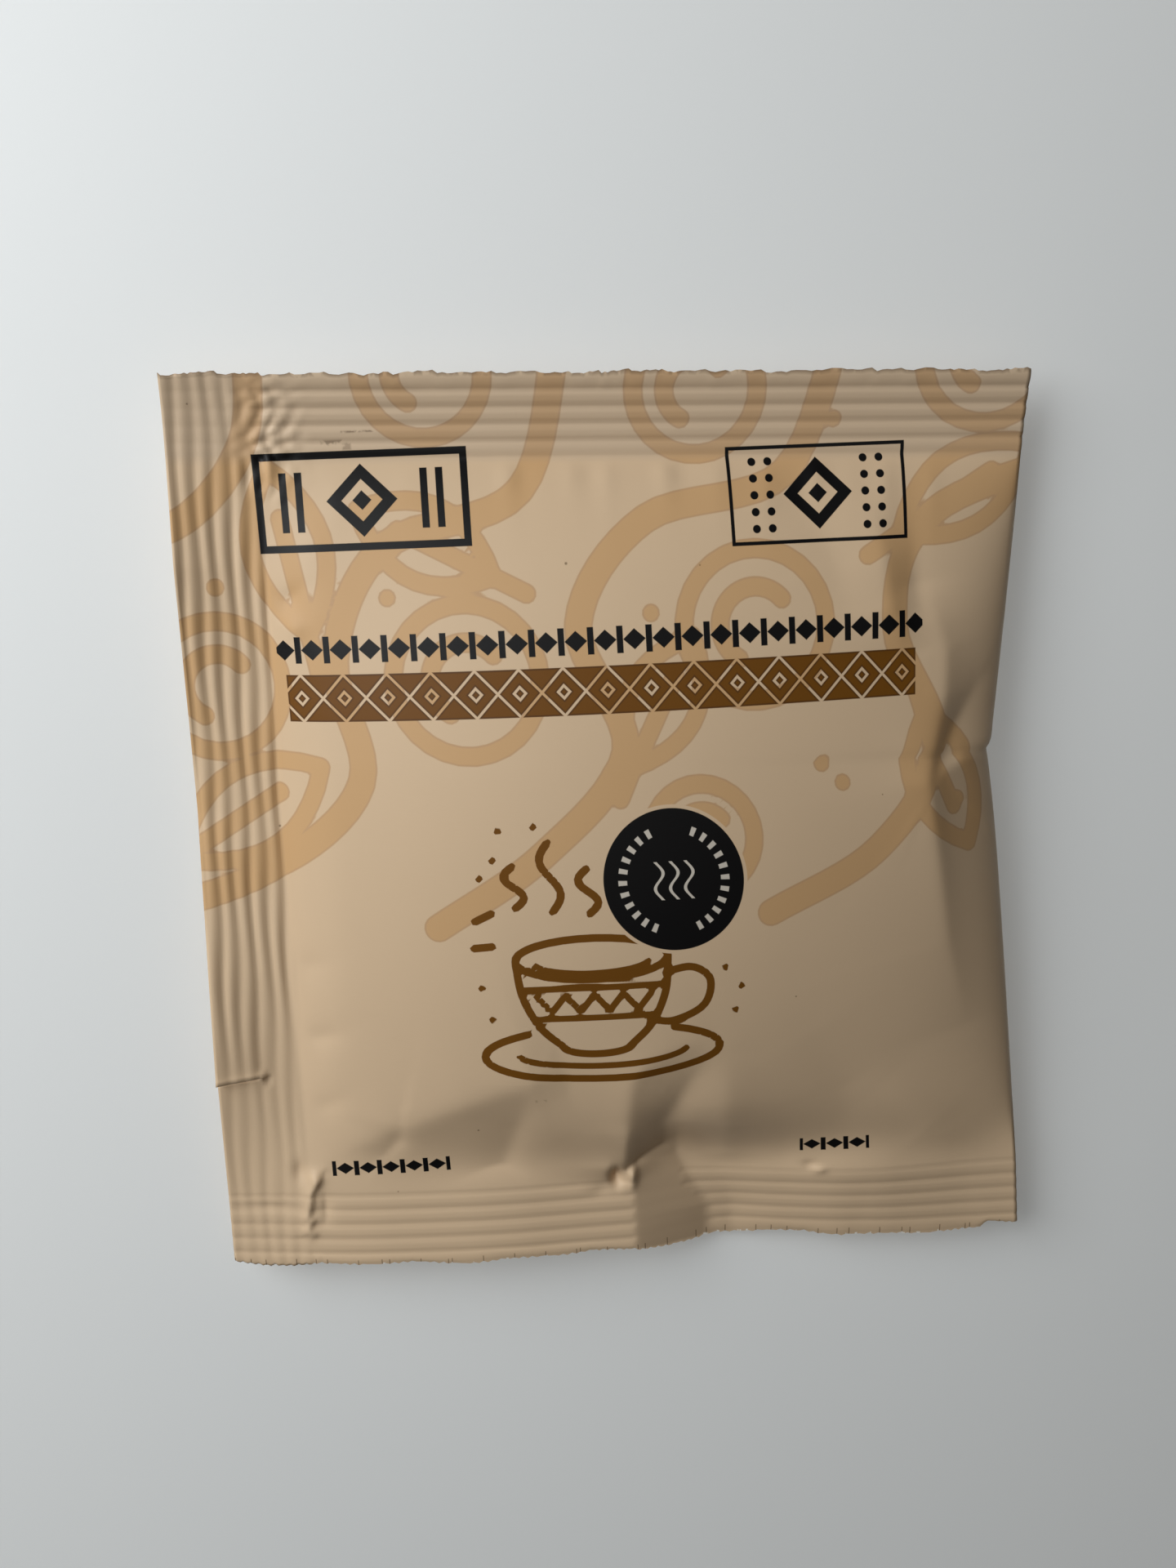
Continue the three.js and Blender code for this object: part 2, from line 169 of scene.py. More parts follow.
# Puckers where the film leaves the top seal: x, depth, length down the film
puckers = [(-33, 0.15, 4), (-24, 0.12, 3), (-11.7, 0.45, 2.5), (-9.8, -0.35, 2), (-4, 0.35, 2),
           (-1.6, -0.2, 2), (0.4, 0.25, 3), (7.5, 0.5, 2.2), (10, -0.35, 2), (14, 0.3, 3),
           (20, 0.25, 4), (26.2, 0.45, 2.5), (28.6, -0.25, 2), (35, 0.3, 5), (41, 0.25, 4)]


def ease(value):
    value = np.clip(value, 0, 1)
    return value * value * (3 - 2 * value)


def bell(value):
    return np.exp(-value * value)


def alongPath(path, x, y):   # distance from a path, left positive, and the path's height at the nearest place
    near = np.full(x.shape, 1e9)
    signed, height = np.zeros(x.shape), np.zeros(x.shape)
    for (x0, y0, z0), (x1, y1, z1) in zip(path, path[1:]):
        runX, runY = x1 - x0, y1 - y0
        share = np.clip(((x - x0) * runX + (y - y0) * runY) / (runX ** 2 + runY ** 2), 0, 1)
        offX, offY = x - x0 - share * runX, y - y0 - share * runY
        away = np.hypot(offX, offY)
        closer = away < near
        near = np.where(closer, away, near)
        signed = np.where(closer, np.where(runX * offY - runY * offX > 0, away, -away), signed)
        height = np.where(closer, z0 + share * (z1 - z0), height)
    return signed, height


def foldHeight(fold, x, y):
    away, height = alongPath(fold["path"], x, y)
    reach = np.where(away > 0, fold["reach"][0], fold["reach"][1])
    return height * np.exp((fold["round"] - np.hypot(away, fold["round"])) / reach)


def foldInset(y):
    span = np.where(y > notchLine, top - notchLine, notchLine - bottom)
    near = np.clip(1 - abs(y - notchLine) / span, 0, 1)
    notch = np.exp(-abs(y - notchLine) / np.where(y > notchLine, *pouch["notchReach"]))
    return pouch["foldPull"] * near ** 1.15 + pouch["notchDepth"] * notch


ribs = {
    "pitch": 2.0, "sideDepth": 0.42, "endDepth": 0.26, "sidePhase": 0.2, "sideTurn": 0.022,
    "sideSharp": 1.3, "endSharp": 3.5,      # how narrow the grooves are
    # shares of the side ribs' depth: low on the side seal, within the bottom seal, and at the left cut
    # and further in within the top seal
    "sideLow": 0.32, "sideOnBottom": 0.28, "sideOnTop": (0.55, 0.3),
    # shares of the end ribs' depth: top and bottom left corner, on the flat facet, left and right of it
    "endInCorner": (0.15, 0.75), "onFacet": 0.08, "bottomShare": (0.62, 0.52),
}

# Where the bottom seal's ribs begin again to the right of its flat facet: y, then x
facetEnd = [(-56.5, 10.9), (-50.8, 10.8), (-50.2, 8.9), (-49.3, 8.7), (-48.7, 7.5), (-44, 6.7)]


def ribWave(distance, sharp):
    groove = 0.5 + 0.5 * np.cos(2 * math.pi * distance / ribs["pitch"])
    return 0.35 - groove ** sharp


def midHeight(x, y):
    topShare = np.clip((y - topLine) / pouch["endSeal"], 0, 1)
    sideShare = np.clip((sideLine - x) / pouch["sideSeal"], 0, 1)
    nearBottom = bell(np.maximum(0, y - bottomLine) / pouch["waveReach"])
    start, bend, end = pinch["start"], pinch["bend"], pinch["end"]
    knee = np.interp(y, *zip(*pinch["knee"]))
    onFacet = start + (x - start) * (bend - start) / (knee - start)
    beyond = bend + (x - knee) * (end - bend) / (end - knee)
    waveX = np.where((x < start) | (x > end), x, np.where(x < knee, onFacet, beyond))
    soft = np.interp(x, *zip(*waveSoftness))
    wave = sum(np.interp(waveX + shift * soft, *zip(*bottomWave)) for shift in (-1.3, -0.7, 0, 0.7, 1.3)) / 5
    slit = slitPlace(x)
    lift = np.where(y > slit, np.interp(y, *zip(*sideLiftAbove)), np.interp(y, *zip(*sideLiftBelow)))
    past = ease((x - left - pouch["slitLength"] + 1.5) / 3)   # past its end, the slit's two sides are one
    joined = np.interp(y, *zip(*(sideLiftBelow[:-1] + sideLiftAbove[1:])))
    lift = lift * (1 - past) + joined * past
    flap = pouch["slitCurl"] * np.exp(-abs(y - slit) / 0.5) * (y > slit) * (1 - past)
    hanging = np.maximum(0, bottomLine - y) * np.sin(sealHang(x))
    curled = pouch["topCurl"] * topShare ** 2 + lift * sideShare ** 1.6
    return pouch["seamHeight"] + curled + nearBottom * wave + flap - hanging


def sealHang(x):
    return np.radians(np.interp(x, *zip(*bottomHang)))


def slitPlace(x):
    return slitLine + pouch["slitRise"] * np.clip((x - left) / pouch["slitLength"], 0, 1)


def bulgeShare(x, y):
    across = np.clip((x - sideLine) / bodyWide, 0, 1)
    along = np.clip((y - bottomLine) / bodyHigh, 0, 1)
    soft, power = pouch["softEnds"], pouch["alongPower"]
    least, most = soft ** power, (1 + soft) ** power
    alongShare = ((4 * along * (1 - along) + soft) ** power - least) / (most - least)
    return (4 * across * (1 - across)) ** (0.85 - 0.3 * across) * alongShare


def ribHeight(x, y):
    endAway = np.minimum(top - y, y - bottom)
    inCorner = x < sideLine
    atTop, atBottom = y > topLine, y < bottomLine
    aboveSlit = ease((y - slitLine) / 18 + 0.1)
    upper = 1 - 0.35 * ease((y - 34) / 12)
    atCut, furtherIn = ribs["sideOnTop"]
    onTop = atCut + (furtherIn - atCut) * ease((x - left - 5) / 4)
    between = (ribs["sideLow"] + (1 - ribs["sideLow"]) * aboveSlit) * upper
    sideShare = np.where(atTop, onTop, np.where(atBottom, ribs["sideOnBottom"], between))
    uneven = 0.78 + 0.3 * np.sin(1.3 * x + 0.11 * y) * np.cos(0.7 * x - 0.17 * y)
    wobble = 0.16 * np.sin(0.29 * y + 0.6 * x)
    acrossRibs = x - left - ribs["sidePhase"] - ribs["sideTurn"] * y + wobble
    side = ribs["sideDepth"] * sideShare * uneven * ribWave(acrossRibs, ribs["sideSharp"])
    endShare = np.where(inCorner, np.where(atTop, *ribs["endInCorner"]), 1)
    smooth = ease((x - 0.3) / 0.6) * ease((np.interp(y, *zip(*facetEnd)) - x) / 0.5 + 0.5)
    endShare = endShare * (1 - (1 - ribs["onFacet"]) * np.where(atBottom, smooth, 0))
    leftShare, rightShare = ribs["bottomShare"]
    endShare = endShare * np.where(atBottom, np.where(x > 8, rightShare, leftShare), 1)
    end = ribs["endDepth"] * endShare * ribWave(endAway, ribs["endSharp"])
    return np.where(x < sideLine + 0.4, side, 0) + np.where(atTop | atBottom, end, 0)


def crumpleHeight(x, y):
    middleX, middleY = crumple["middle"]
    wide, high = crumple["size"]
    near = bell((x - middleX) / wide) * bell((y - middleY) / high)
    upright = abs(np.sin(1.5 * x + 1.4 * np.sin(0.8 * y)))
    slanted = abs(np.sin(0.9 * x - 1.3 * y + 0.8 * np.sin(1.1 * y)))
    return crumple["depth"] * near * (upright + 0.7 * slanted - 0.9)


def filmPlaces(x, y, front):
    across = np.clip((x - sideLine) / bodyWide, 0, 1)
    share = bulgeShare(x, y)
    placeX = x - foldInset(y) * across ** 2
    mid = midHeight(x, y) + ribHeight(x, y) + crumpleHeight(x, y)
    shaped = sum(foldHeight(fold, placeX, y) for name, fold in folds.items() if name not in sealFolds)
    onSeal = sum(foldHeight(folds[name], placeX, y) for name in sealFolds)
    inBody = (x > sideLine) & (y > bottomLine) & (y < topLine)
    pleats = sum(depth * bell((x - at) / 1.3) * np.exp(-abs(topLine - y) / run) for at, depth, run in puckers)
    dents = sum(rise * bell((x - atX) / wide) * bell((y - atY) / high) for atX, atY, rise, wide, high in dimples)
    lifted = share * (1 - bell((y - bottomLine) / pouch["flatStart"]))
    rise = pouch["frontRise"] * lifted + (shaped + np.where(inBody, pleats, 0)) * ease(share * 6)
    frontZ = mid + pouch["film"] / 2 + np.maximum(0, rise) + dents + onSeal
    backZ = np.maximum(0, mid - pouch["film"] / 2 - pouch["backDrop"] * share ** 0.8 + dents + onSeal)
    placeX = placeX - pouch["sideLean"] * y / top
    placeY = y - pouch["topSlant"] * x / right * ease((y - bottom) / pouch["height"]) + cutShift(x, y)
    placeY = placeY + np.maximum(0, bottomLine - y) * (1 - np.cos(sealHang(x)))
    return np.stack([placeX, placeY, np.where(front, frontZ, backZ)], axis=1)


# The two cut ends, in millimetres
cuts = {
    "wander": 0.3,                          # how far they stray
    "torn": 0.3, "ragged": 0.2,             # tears and fine edge of the top cut
    "tooth": 0.28, "toothPitch": 1.06,      # the saw's marks on the bottom cut
    "gap": 0.16, "gapPitch": 5.9,
    "nick": 0.95, "nickFrom": 47.6,         # a strip is gone from the bottom right corner
    "trim": 0.6, "tongue": 0.35,            # closer to the ribs left of the pinch, further out at it
    "fade": 2.0,                            # how far into the film a cut's course is felt
}


def cutShift(x, y):
    wander = cuts["wander"] * np.sin(2 * math.pi * x / 17 + y) * np.cos(x / 7.5)
    torn = cuts["torn"] * ((x / 4.7 + 0.35 * np.sin(x / 5.3)) % 1)
    torn = torn + cuts["ragged"] * abs(np.sin(2.3 * x + 1.7 * np.sin(0.9 * x))) - 0.25
    sawn = cuts["tooth"] * abs((x / cuts["toothPitch"]) % 1 - 0.5) * 2
    sawn = sawn - cuts["gap"] * bell((x / cuts["gapPitch"]) % 1 / 0.12)
    nick = cuts["nick"] * ease((x - cuts["nickFrom"]) / 0.7)
    trimmed = cuts["trim"] * ease((9 - x) / 8) - cuts["tongue"] * bell((x - 9) / 6)
    atTop = np.clip(1 - (top - y) / cuts["fade"], 0, 1)
    atBottom = np.clip(1 - (y - bottom) / cuts["fade"], 0, 1)
    return (0.5 * wander + torn) * atTop - (wander + sawn - nick - trimmed) * atBottom


# The print is laid out flat too, turned a little so that its rows run up to the right.
# A stroke is a path and a width.

printMap = 120.0     # millimetres of film across the map of the print
printTurn = 0.03


def onPrint(x, y):
    return x + printTurn * y, y - printTurn * x


def smoothPath(points, steps=8):   # a smooth curve through a few points
    rows = np.array(points, float)
    rows = np.vstack([2 * rows[0] - rows[1], rows, 2 * rows[-1] - rows[-2]])
    share = np.linspace(0, 1, steps, endpoint=False)[:, None]
    parts = [0.5 * (2 * b + (c - a) * share + (2 * a - 5 * b + 4 * c - d) * share ** 2
                    + (3 * b - a - 3 * c + d) * share ** 3)
             for a, b, c, d in zip(rows, rows[1:], rows[2:], rows[3:])]
    return np.vstack(parts + [rows[-2:-1]])


def oval(x, y, wide, high, start=0.0, end=360.0):
    angles = np.radians(np.linspace(start, end, 30))
    return np.stack([x + wide * np.cos(angles), y + high * np.sin(angles)], axis=1)


def leaf(x, y, turn, length, width):   # an outline of two arcs and a midrib
    share = np.linspace(0, 1, 12)
    edge = np.sin(math.pi * share) ** 0.85 * width
    shapes = [np.stack([share * length, side * edge], axis=1) for side in (1, -1)]
    shapes.append(np.array([(-0.25 * length, 0), (0.7 * length, 0)]))
    lean = math.radians(turn)
    spin = np.array([(math.cos(lean), math.sin(lean)), (-math.sin(lean), math.cos(lean))])
    return [shape @ spin + (x, y) for shape in shapes]


def inkAway(strokes, x, y):   # distance from the nearest stroke's edge, less than nothing inside
    x, y = onPrint(x, y)
    nearest = np.full(x.shape, 99.0)
    for path, width in strokes:
        for (x0, y0), (x1, y1) in zip(path, path[1:]):
            runX, runY = x1 - x0, y1 - y0
            share = np.clip(((x - x0) * runX + (y - y0) * runY) / max(runX ** 2 + runY ** 2, 1e-9), 0, 1)
            nearest = np.minimum(nearest, np.hypot(x - x0 - share * runX, y - y0 - share * runY) - width / 2)
    return nearest


# The pale wash: drifting steam, cup rings and leaves, large, over the upper part and off the edges
wash = {
    "steam": [[(-62, -7), (-44, -2), (-31, 9), (-33, 24), (-26, 37), (-9, 43), (-3, 62)],
              [(-23, -9), (-9, 0), (2, 12), (-3, 27), (6, 39), (24, 44), (31, 62)],
              [(19, -9), (34, -2), (43, 10), (37, 25), (42, 38), (62, 45)],
              [(-62, 38), (-50, 41), (-42, 50), (-40, 62)]],
    "rings": [(-17, 21, 9.0), (19, 26, 9.0), (-48, 21, 8.0), (13, 54, 7.6), (-20, 57, 7.4), (49, 57, 8.2),
              (11, 1, 6.6)],
    "leaves": [(-55, 0, 30, 22, 5.2), (-36, 27, 100, 20, 4.6), (-13, 33, 152, 18, 4.6), (3, 10, 62, 17, 4.4),
               (41, 14, -70, 18, 4.6), (38, 36, 30, 20, 4.6)],
    "dots": [(27.5, 9), (30, 6.5), (-26, 31), (46, 3), (-6, 51), (6, 28), (30, 50), (-47, 33)],
    "steamWidth": 3.3, "lineWidth": 2.2, "dotSize": 2.0,
}


def washStrokes():
    strokes = [(smoothPath(points), wash["steamWidth"]) for points in wash["steam"]]
    for x, y, size in wash["rings"]:
        strokes.append((oval(x, y, size, size), wash["lineWidth"]))
        strokes.append((oval(x, y, size * 0.5, size * 0.5, 40, 240), wash["lineWidth"]))
    for place in wash["leaves"]:
        strokes += [(path, wash["lineWidth"]) for path in leaf(*place)]
    return strokes + [([(x, y), (x, y)], wash["dotSize"]) for x, y in wash["dots"]]


# The brown drawing: a steaming cup on its saucer
cup = {
    "rim": (-4.2, -13.4, 9.6, 2.7),
    "saucer": (-3.6, -26.0, 15.0, 3.7),
    "side": [(-13.8, -13.6), (-13.2, -18.2), (-11.2, -22.4), (-8.4, -25.2)],
    "handle": [(5.0, -15.6), (8.4, -15.2), (10.6, -17.0), (9.6, -20.4), (5.6, -22.2), (2.6, -21.8)],
    "steam": [(-13.2, -6.6, 5.2), (-8.6, -7.2, 8.6), (-4.0, -7.6, 5.6)],   # x and y of the foot, height
    "band": (-12.4, 4.0, -19.2, 2.0),   # from x to x, middle height, half height
    "dots": [(-17.4, -2.8), (-15.6, -0.6), (-18.2, -16.8), (12.6, -15.6), (14.6, -18.2), (13.6, -21.4),
             (-17.2, -21.0), (-10.2, 3.4), (-14.6, 3.0)],
    "dashes": [[(-18.4, -8.2), (-16.2, -7.2)], [(-18.8, -11.6), (-16.4, -11.4)]],
    "mainWidth": 1.0, "fineWidth": 0.85, "dotSize": 1.0,
}


def cupStrokes():
    main, fine = cup["mainWidth"], cup["fineWidth"]
    rimX, rimY, rimWide, rimHigh = cup["rim"]
    x, y, wide, high = cup["saucer"]
    side = np.array(smoothPath(cup["side"]))
    strokes = [(oval(rimX, rimY, rimWide, rimHigh), main),
               (oval(rimX, rimY - 0.4, rimWide - 2.4, rimHigh - 1.2, 190, 350), fine),   # the coffee in it
               (side, main), (side * (-1, 1) + (2 * rimX, 0), main),
               (oval(rimX, -25.0, 4.4, 1.2, 180, 360), main), (smoothPath(cup["handle"]), main),
               (oval(x, y, wide, high, 128, 412), main),
               (oval(x, y + 0.3, wide - 4.2, high - 1.5, 190, 350), fine)]
    for footX, footY, height in cup["steam"]:
        rise = np.linspace(0, 1, 16)
        sway = footX + 1.2 * np.sin(rise * 2 * math.pi)
        strokes.append((np.stack([sway, footY + rise * height], axis=1), main))
    start, end, middle, half = cup["band"]
    teeth = np.linspace(start + 0.9, end - 0.9, 9)
    strokes.append((np.stack([teeth, middle + half * 0.55 * (-1) ** np.arange(9)], axis=1), fine))
    strokes.append(([(start - 0.4, middle + half), (end + 0.4, middle + half)], fine))
    strokes.append(([(start + 1.0, middle - half), (end - 1.0, middle - half)], fine))
    strokes += [(dash, main) for dash in cup["dashes"]]
    return strokes + [([(x, y), (x, y)], cup["dotSize"]) for x, y in cup["dots"]]


# Columns and rows of the net are closer where the film has more to show.
# A span is where a stretch starts, then its spacing.
columnSpans = [(left, 0.34), (-39.5, 0.58), (-5, 0.36), (9.5, 0.62), (36, 0.5)]
rowSpans = [(bottom, 0.34), (-39, 0.6), (slitLine - 0.05, 0.1), (slitLine + 0.05, 0.58), (topLine, 0.34)]


def netMarks(spans, end):   # places, and how many columns or rows lie before each
    places, counts = [spans[0][0]], [0]
    for (start, spacing), (stop, _) in zip(spans, spans[1:] + [(end, 0)]):
        places.append(stop)
        counts.append(counts[-1] + round((stop - start) / spacing))
    return places, counts


def makeSachet():
    columnPlaces, columnMarks = netMarks(columnSpans, right)
    rowPlaces, rowMarks = netMarks(rowSpans, top)
    columns, rows, slitRow = columnMarks[-1], rowMarks[-1], rowMarks[2]
    bm = bmesh.new()
    filmLayer = bm.verts.layers.float_vector.new("film")
    bmesh.ops.create_grid(bm, x_segments=columns, y_segments=rows, size=0.5)
    for vert in bm.verts:
        x = np.interp((vert.co.x + 0.5) * columns, columnMarks, columnPlaces)
        y = np.interp((vert.co.y + 0.5) * rows, rowMarks, rowPlaces)
        vert[filmLayer] = (x, y + (slitPlace(x) - slitLine) * bell((y - slitLine) / 4), 1)
    slitEnd = np.interp(left + pouch["slitLength"], columnPlaces, columnMarks)
    slitFaces = [face for face in bm.faces
                 if slitRow < (face.calc_center_median().y + 0.5) * rows < slitRow + 1
                 and (face.calc_center_median().x + 0.5) * columns < slitEnd]
    bmesh.ops.delete(bm, geom=slitFaces, context="FACES")
    copied = bmesh.ops.duplicate(bm, geom=bm.verts[:] + bm.edges[:] + bm.faces[:])["geom"]
    for item in copied:
        if isinstance(item, bmesh.types.BMVert):
            item[filmLayer].z = 0
    bmesh.ops.reverse_faces(bm, faces=[item for item in copied if isinstance(item, bmesh.types.BMFace)])
    bmesh.ops.bridge_loops(bm, edges=[edge for edge in bm.edges if edge.is_boundary])
    flat = np.array([tuple(vert[filmLayer]) for vert in bm.verts])
    places = filmPlaces(flat[:, 0], flat[:, 1], flat[:, 2] > 0.5)
    places[:, :2] -= (places.min(axis=0) + places.max(axis=0))[:2] / 2
    places[:, 1] = places[:, 1] * pouch["stretch"] + pouch["shift"]
    for vert, place in zip(bm.verts, places):
        vert.co = place * 0.001
    mapLayer = bm.loops.layers.uv.new("filmMap")   # the whole web laid flat, on both sides of the fold
    for face in bm.faces:
        onBack = all(loop.vert[filmLayer].z < 0.5 for loop in face.loops)
        for loop in face.loops:
            x, y, _ = loop.vert[filmLayer]
            loop[mapLayer].uv = ((2 * right - x if onBack else x) / printMap + 0.5, y / printMap + 0.5)
    bmesh.ops.recalc_face_normals(bm, faces=bm.faces)
    mesh = bpy.data.meshes.new("sachetFilm")
    bm.to_mesh(mesh)
    bm.free()
    mesh.shade_smooth()
    web = np.where(flat[:, 2] > 0.5, flat[:, 0], 2 * right - flat[:, 0])
    for name, strokes in (("washAway", washStrokes()), ("cupAway", cupStrokes())):
        layer = mesh.attributes.new(name, "FLOAT", "POINT")
        layer.data.foreach_set("value", inkAway(strokes, web, flat[:, 1]).astype(np.float32))
    film = bpy.data.objects.new("sachetFilm", mesh)
    bpy.context.collection.objects.link(film)
    return film


print("film")
sachetFilm = makeSachet()
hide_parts("sachet")
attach(sachetFilm, "root")


class Wire:   # a shader value that can be reckoned with
    def __init__(self, tree, socket=None):
        self.tree, self.socket = tree, socket

    def node(self, kind, settings, inputs, output=0):
        made = self.tree.nodes.new(kind)
        for name, value in settings.items():
            setattr(made, name, value)
        for name, value in inputs.items():
            if isinstance(value, Wire):
                self.tree.links.new(value.socket, made.inputs[name])
            else:
                made.inputs[name].default_value = value
        return Wire(self.tree, made.outputs[output])

    def output(self, index):   # another output of the same node
        return Wire(self.tree, self.socket.node.outputs[index])

    def math(self, operation, other=0.0, swapped=False):
        first, second = (other, self) if swapped else (self, other)
        return self.node("ShaderNodeMath", {"operation": operation}, {0: first, 1: second})

    def __add__(self, other):
        return self.math("ADD", other)

    def __sub__(self, other):
        return self.math("SUBTRACT", other)

    def __rsub__(self, other):
        return self.math("SUBTRACT", other, swapped=True)

    def __mul__(self, other):
        return self.math("MULTIPLY", other)

    def __truediv__(self, other):
        return self.math("DIVIDE", other)

    def __abs__(self):
        return self.math("ABSOLUTE")

    def least(self, other):
        return self.math("MINIMUM", other)

    def most(self, other):
        return self.math("MAXIMUM", other)

    def inside(self, edge=0.0, soft=0.07):   # 1 where the distance is under the edge, with a soft step
        return self.node("ShaderNodeMath", {"operation": "MULTIPLY_ADD", "use_clamp": True},
                         {0: self, 1: -1 / soft, 2: edge / soft + 0.5})

    __radd__ = __add__
    __rmul__ = __mul__

    def blend(self, a, b):
        return self.node("ShaderNodeMix", {"data_type": "RGBA"}, {"Factor": self, 6: a, 7: b}, 2)

    def shaded(self, value, saturation):
        settings = {"Value": value, "Saturation": saturation, "Color": self}
        return self.node("ShaderNodeHueSaturation", {}, settings)


def srgb(red, green, blue):
    def linear(value):
        value /= 255
        return value / 12.92 if value <= 0.04045 else ((value + 0.055) / 1.055) ** 2.4
    return (linear(red), linear(green), linear(blue), 1)


filmLook = {
    "film": srgb(203, 177, 146), "wash": srgb(193, 156, 113), "washEdge": srgb(184, 149, 112),
    "brown": srgb(106, 66, 14), "brownEdge": srgb(84, 52, 18), "black": srgb(9, 8, 9),
    # The dark brown serves both for dirt and specks and for painted shade in the bottom cut's slits and along
    # the top cut; the near-white is a painted highlight where the inner film glints at the bottom cut
    "pale": srgb(196, 188, 176), "dirtAndShade": srgb(88, 64, 38), "cutGlint": srgb(238, 234, 226),
    "roughness": (0.4, 0.52), "sheen": 0.2,
    "weave": 0.010,         # height of its threads in millimetres
    "cutShadeShare": 0.6,      # how strongly painted shade shows along the torn top cut
    "speckShare": 0.7, "slitShadeShare": 0.85,   # of dirt specks, and of the painted shade in the saw's slits in the bottom cut
    "slits": [(0.9, 4.1), (-41.6, 8.7)],    # x of one slit, and how far apart they are
    "slitDepth": 0.9, "slitWidth": 0.1,
    "washLine": (0.11, 0.14), "brownLine": (0.1, 0.1),   # half width and softness of the drawings' outlines
    "crimpShadeAndDirtShare": 0.75,     # how much greyer and darker the top crimp is painted: partly painted shade of its ribs, partly dirt
    "toneShare": 0.16,      # how far the film's tone drifts
}

# Marks in print millimetres: middle x and y, half width and half height. The disc has its middle and its radius,
# the bare gap round it, and a ring of dashes at a share of its radius.
marks = {
    "darkRow": (0.2, 25.1, 40.6, 1.6), "boldRow": (0.2, 19.3, 39.6, 2.8),
    "leftFrame": (-28.2, 42.6, 13.0, 5.9), "rightFrame": (27.8, 41.2, 11.2, 5.9),
    "noteLeft": (-32.2, -41.6, 7.7, 1.0), "noteRight": (26.4, -43.2, 4.6, 1.0),
    "disc": (6.9, -4.0, 8.9), "discGap": 0.45, "discRing": 0.73, "discDashes": 28,
    "darkPitch": 3.6, "boldPitch": 5.4, "notePitch": 3.0,
    "leftStroke": 0.9, "rightStroke": 0.45,
}


def boxAway(x, y, place):
    middleX, middleY, halfWide, halfHigh = place
    return (abs(x - middleX) - halfWide).most(abs(y - middleY) - halfHigh)


def repeated(x, start, pitch):   # distance from the middle of the nearest repeat
    return abs(((x - start) / pitch + 0.5).math("FRACT") - 0.5) * pitch


def diamondRow(x, y, place, pitch, ring):   # a row of diamonds with bars or small corners between them
    middleX, middleY, halfWide, halfHigh = place
    across = repeated(x, middleX, pitch)
    up = abs(y - middleY)
    diamond = (across * (2 * halfHigh / pitch) + up) * 0.75
    bars = (pitch / 2 - across) - pitch * 0.11
    shape = diamond - halfHigh * 0.58
    if ring:
        shape = (diamond - halfHigh * 0.68).most(halfHigh * 0.27 - diamond).least(diamond - halfHigh * 0.13)
        bars = halfHigh * 0.82 - diamond
    return shape.least(bars).most(boxAway(x, y, place))


def framedMark(x, y, place, stroke, bars):
    middleX, middleY, halfWide, halfHigh = place
    edge = abs(boxAway(x, y, (middleX, middleY, halfWide - stroke / 2, halfHigh - stroke / 2))) - stroke / 2
    across, up = abs(x - middleX), abs(y - middleY)
    figure = (across + up) * 0.71
    figure = (figure - halfHigh * 0.52).most(halfHigh * 0.3 - figure).least(figure - halfHigh * 0.14)
    if bars:
        side = repeated(x, middleX, 1.9) - 0.45
        side = side.most(halfHigh * 1.15 - across).most(across - halfWide + 2.6).most(up - halfHigh * 0.6)
    else:
        side = repeated(x, middleX, 2.0).math("POWER", 2.0) + repeated(y, middleY, 2.0).math("POWER", 2.0)
        side = (side.math("SQRT") - 0.5).most(halfHigh * 0.88 - across)
        side = side.most(across - halfWide + 2.2).most(up - halfHigh + 1.3)
    return edge.least(figure).least(side)


# Dirt rubbed in: a box in print millimetres, then how strongly it shows
scuffs = [((-28.2, 50.7, 1.9, 0.07), 0.9), ((-31.4, 49.5, 1.3, 0.3), 0.55), ((-29.6, 49.1, 0.5, 0.5), 0.4),
          ((-12.0, -32.6, 0.7, 0.15), 0.35)]

# Small specks: print x and y, radius
specks = [(-42.3, 3.3, 0.13), (-4.0, 34.2, 0.16), (-47.9, 54.6, 0.1), (-20.4, -36.8, 0.12), (-31.6, -45.1, 0.08),
          (12.4, 33.3, 0.09), (21.6, -20.4, 0.1), (35.2, 4.6, 0.08)]


def noiseOn(wire, x, y, perX, perY, seed):   # perX and perY are waves in a millimetre
    place = wire.node("ShaderNodeCombineXYZ", {}, {0: x * perX, 1: y * perY, 2: seed})
    return wire.node("ShaderNodeTexNoise", {}, {"Vector": place, "Scale": 1.0, "Detail": 2.0})


def discPrint(x, y, place):   # a ring of dashes and a small figure
    middleX, middleY, size = place
    across, up = x - middleX, y - middleY
    reach = (across * across + up * up).math("SQRT")
    turn = up.math("ARCTAN2", across)
    ringSize = marks["discRing"] * size
    dashes = repeated(turn, 0.0, 2 * math.pi / marks["discDashes"]) * ringSize
    ring = (abs(reach - ringSize) - 0.55).most(dashes - 0.3).most(1.6 - abs(across) * 0.8)
    wave = (up * 1.6).math("SINE") * 0.55
    lines = (repeated(across - wave, 0.0, 1.9) - 0.2).most(abs(up) - 2.4).most(abs(across) - 2.8)
    return reach, ring.least(lines)


